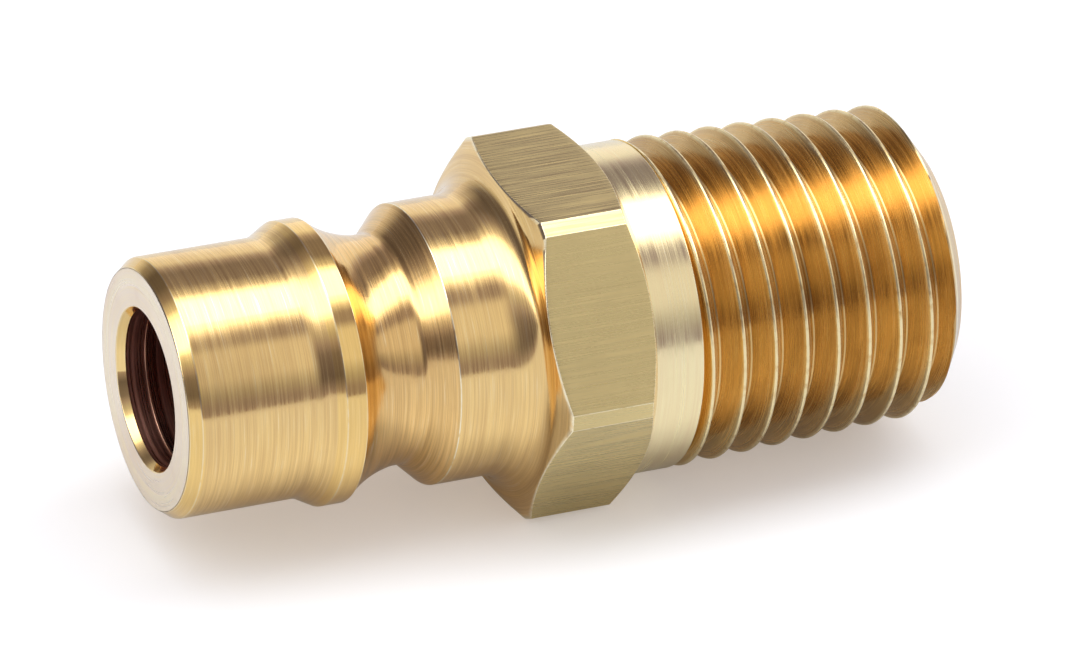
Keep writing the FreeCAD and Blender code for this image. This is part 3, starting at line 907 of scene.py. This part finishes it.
@dataclass
class Studio:
    """Floor, light and camera. Lengths are in millimetres, angles in degrees."""

    floor_height: float = -7.0
    floor_half: float = 1500.0
    floor_colour: Colour = (0.62, 0.66, 0.72)
    glow_colour: Colour = (1.0, 0.88, 0.77)
    glow_strength: float = 0.38
    mirrored_share: float = 0.2
    aim: tuple[float, float, float] = (16.52, -0.445, 0.0)
    azimuth: float = -24.26
    elevation: float = 30.856
    roll: float = 3.096
    distance: float = 367.17
    lens: float = 300.0
    sensor: float = 36.0
    clip_start: float = 10.0
    brightest: float = 3.2
    dusk: Colour = (1.03, 0.93, 1.1)
    dusk_below: float = 0.45
    ahead_range: Range = (-0.4, 0.3)
    bands: Bands = (
        (-180, 0.7), (-60, 0.7), (-30, 1.25), (-8, 1.1), (21, 0.95), (30, 0.42), (38, 0.24),
        (58, 0.25), (68, 0.75), (76, 3.2), (97, 3.2), (106, 1.0), (112, 0.38), (120, 0.36),
        (127, 0.84), (150, 0.84), (162, 0.5), (172, 0.33), (180, 0.33))
    bands_ahead: Bands = (
        (-180, 0.7), (-60, 0.7), (-30, 1.2), (-8, 0.95), (4, 0.55), (13, 0.16), (25, 0.12),
        (42, 0.14), (54, 0.3), (66, 0.8), (74, 2.2), (84, 3.0), (106, 3.0), (115, 1.0),
        (124, 0.6), (134, 0.4), (143, 0.22), (165, 0.15), (175, 0.3), (180, 0.4))

    def ramp(self, tree: bpy.types.NodeTree, share: Socket, bands: tuple) -> Socket:
        """Brightness of the bands as a colour ramp.

        Args:
            tree: Tree of the world.
            share: Angle about the part's axis, from 0 to 1.
            bands: Pairs of an angle in degrees and a level.

        Returns:
            The ramp's colour.
        """
        node = add_node(tree, "ValToRGB")
        tree.links.new(share, node.inputs[0])
        stops = node.color_ramp.elements
        for index, (degrees, level) in enumerate(bands):
            place = (degrees + 180) / 360
            stop = stops[index] if index < 2 else stops.new(place)
            stop.position = place
            tint = self.dusk if level < self.dusk_below else WHITE
            stop.color = (*(level * channel / self.brightest for channel in tint), 1.0)
        return node.outputs[0]

    def world(self) -> None:
        """Long soft boxes and dark flags parallel to the part, as bands about its axis."""
        world = bpy.data.worlds.new("studio")
        bpy.context.scene.world = world
        world.use_nodes = True
        tree = world.node_tree
        tree.nodes.clear()
        wiring = Wiring(tree)
        split = add_node(tree, "SeparateXYZ")
        wiring.feed(split.inputs[0], add_node(tree, "TexCoord").outputs["Generated"])
        angle = wiring.math("ARCTAN2", split.outputs[2], split.outputs[1])
        share = wiring.span(angle, -math.pi, math.pi)
        sideways = wiring.span(split.outputs[0], *self.ahead_range)
        ahead, beside = self.ramp(tree, share, self.bands_ahead), self.ramp(tree, share, self.bands)
        colour = wiring.mix(sideways, ahead, beside)
        banded = add_node(tree, "Background")
        wiring.feed(banded.inputs["Color"], colour)
        banded.inputs["Strength"].default_value = self.brightest
        plain = add_node(tree, "Background")
        choose = add_node(tree, "MixShader")
        wiring.feed(choose.inputs[0], add_node(tree, "LightPath").outputs["Is Camera Ray"])
        tree.links.new(banded.outputs[0], choose.inputs[1])
        tree.links.new(plain.outputs[0], choose.inputs[2])
        plain.inputs["Color"].default_value = (*WHITE, 1)
        tree.links.new(choose.outputs[0], add_node(tree, "OutputWorld").inputs[0])

    def floor(self) -> None:
        """A pale floor that keeps the part's shadow."""
        half = self.floor_half * MM
        mesh = bpy.data.meshes.new("floor")
        z = self.floor_height * MM
        corners = [(-half, -half, z), (half, -half, z), (half, half, z), (-half, half, z)]
        mesh.from_pydata(corners, [], [(0, 1, 2, 3)])
        floor = bpy.data.objects.new("floor", mesh)
        bpy.context.scene.collection.objects.link(floor)
        material = bpy.data.materials.new("pale_floor")
        material.use_nodes = True
        tree = material.node_tree
        tree.nodes.clear()
        wiring = Wiring(tree)
        paper = add_node(tree, "BsdfDiffuse")
        paper.inputs["Color"].default_value = (*self.floor_colour, 1)
        glow = add_node(tree, "Emission")
        glow.inputs["Color"].default_value = (*self.glow_colour, 1)
        path = add_node(tree, "LightPath")
        mirrored = wiring.math("MAXIMUM", path.outputs["Is Glossy Ray"], path.outputs["Is Transmission Ray"])
        dimmed = wiring.math("MULTIPLY", mirrored, self.mirrored_share)
        seen = wiring.math("MAXIMUM", path.outputs["Is Camera Ray"], dimmed)
        wiring.feed(glow.inputs["Strength"], wiring.math("MULTIPLY", seen, self.glow_strength))
        both = add_node(tree, "AddShader")
        tree.links.new(paper.outputs[0], both.inputs[0])
        tree.links.new(glow.outputs[0], both.inputs[1])
        tree.links.new(both.outputs[0], add_node(tree, "OutputMaterial").inputs[0])
        mesh.materials.append(material)

    def camera(self) -> None:
        """Camera that looks down on the part from beside its nose."""
        azimuth, elevation = math.radians(self.azimuth), math.radians(self.elevation)
        level = math.cos(elevation)
        back = Vector((math.sin(azimuth) * level, -math.cos(azimuth) * level, math.sin(elevation)))
        place = Vector(self.aim) * MM + back * self.distance * MM
        data = bpy.data.cameras.new("camera")
        data.lens = self.lens
        data.sensor_width = self.sensor
        data.clip_start = self.clip_start * MM
        camera = bpy.data.objects.new("camera", data)
        roll = Matrix.Rotation(math.radians(self.roll), 4, "Z")
        turn = back.to_track_quat("Z", "Y").to_matrix().to_4x4() @ roll
        camera.matrix_world = Matrix.Translation(place) @ turn
        bpy.context.scene.collection.objects.link(camera)
        bpy.context.scene.camera = camera

    def build(self) -> None:
        """Set everything up."""
        self.world()
        self.floor()
        self.camera()
        bpy.context.scene.view_settings.view_transform = "Standard"


def body_finishes() -> dict[Zone, MetalFinish]:
    """Finish of each stretch of the turned body."""
    return {
        Zone.LEAD_IN: MetalFinish("reamed_brass", (0.97, 0.68, 0.28), (0.62, 0.40, 0.14), 0.07, 14.0,
                                  streak=0.05, scratch_and_glint=0.2, tarnish=0.1, edge_share=0.5),
        Zone.FACE: MetalFinish("faced_brass", (1.0, 0.84, 0.66), (0.76, 0.56, 0.43), 0.4, 13.0, streak=0.05,
                               scratch_and_glint=0.2, tarnish=0.45, edge_share=0.5),
        Zone.POLISHED: MetalFinish("polished_brass", (0.96, 0.63, 0.23), (0.50, 0.30, 0.10), 0.08, 16.0,
                                   streak=0.08, scratch_and_glint=0.3, tarnish=0.2, edge_share=0.5),
        Zone.TURNED: MetalFinish("turned_brass", (0.93, 0.61, 0.25), (0.56, 0.34, 0.17), 0.11, 22.0,
                                 streak=0.14, tarnish=0.3),
        # Base a little darker than the turned brass: painted shade in the groove.
        Zone.GROOVE: MetalFinish("groove_brass_painted_shade", (0.88, 0.56, 0.22), (0.50, 0.29, 0.13), 0.12, 22.0,
                                 tarnish=0.3),
        Zone.HEXAGON: MetalFinish("drawn_brass", (0.75, 0.59, 0.28), (0.40, 0.30, 0.14), 0.3, 14.0,
                                  spread=Spread.ALONG, streak=0.05, scratch_and_glint=0.35),
        Zone.SHANK: MetalFinish("shank_brass", (1.0, 0.80, 0.46), (0.72, 0.50, 0.26), 0.17, 16.0,
                                streak=0.06),
        # Base darker than the turned brass: painted shade between the thread's flanks. The edge colour paints
        # the crests lighter, partly wear and partly a painted highlight.
        Zone.THREAD: MetalFinish("thread_brass_painted_shade", (0.76, 0.50, 0.20), (0.34, 0.18, 0.07), 0.2, 18.0,
                                 tarnish=0.6, edge=(1.0, 0.84, 0.48), edge_share=0.85),
        # Dark base colour: painted shade deep inside the bore.
        Zone.BORE: MetalFinish("bore_brass_painted_shade", (0.46, 0.23, 0.18), (0.22, 0.11, 0.09), 0.28, 9.0, streak=0.25,
                               scratch_and_glint=0.25, waver=0.15, edge=(0.95, 0.62, 0.40)),
        Zone.END: MetalFinish("end_brass", (0.95, 0.76, 0.54), (0.66, 0.48, 0.30), 0.35, 14.0, streak=0.06),
    }


def inner_finishes() -> dict[str, MetalFinish | SoftFinish]:
    """Finish of each piece inside the body, by its node."""
    return {
        "valve_head": MetalFinish("valve_brass", (0.86, 0.64, 0.30), (0.6, 0.4, 0.16), 0.2, 7.0),
        "seal_washer": MetalFinish("washer_brass", (0.84, 0.64, 0.32), (0.6, 0.4, 0.16), 0.3, 7.0),
        "valve_stem": MetalFinish("ground_steel", (0.62, 0.62, 0.61), (0.4, 0.4, 0.4), 0.22, 12.0),
        "stem_guide": MetalFinish("guide_brass", (0.86, 0.66, 0.34), (0.6, 0.42, 0.18), 0.25, 7.0),
        "retaining_ring": MetalFinish("ring_steel", (0.33, 0.33, 0.34), (0.2, 0.2, 0.2), 0.35, 7.0),
        "seat_seal": SoftFinish("seal_rubber", (0.025, 0.025, 0.025), 0.5),
        "guide_bush": SoftFinish("bush_plastic", (0.80, 0.79, 0.75), 0.4),
    }


def main() -> None:
    """Build the pieces in order and report each one."""
    logging.basicConfig(level=logging.INFO, format="%(message)s")
    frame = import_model()
    groups = GroupLibrary()
    materials = {zone: finish.material(groups) for zone, finish in body_finishes().items()}
    body = TurnedBody().build(materials)
    log.info("%s: %d faces", body.name, len(body.data.polygons))
    for node, finish in inner_finishes().items():
        dress(frame["nodes"][node], finish.material(groups))
        log.info("%s: %s", node, finish.name)
    wire = MetalFinish("spring_wire", (0.58, 0.58, 0.58), (0.35, 0.35, 0.36), 0.25, 2.0)
    spring = ValveSpring().build(wire.material(groups))
    log.info("%s: %d faces", spring.name, len(spring.data.polygons))
    Studio().build()


if __name__ == "__main__":
    main()
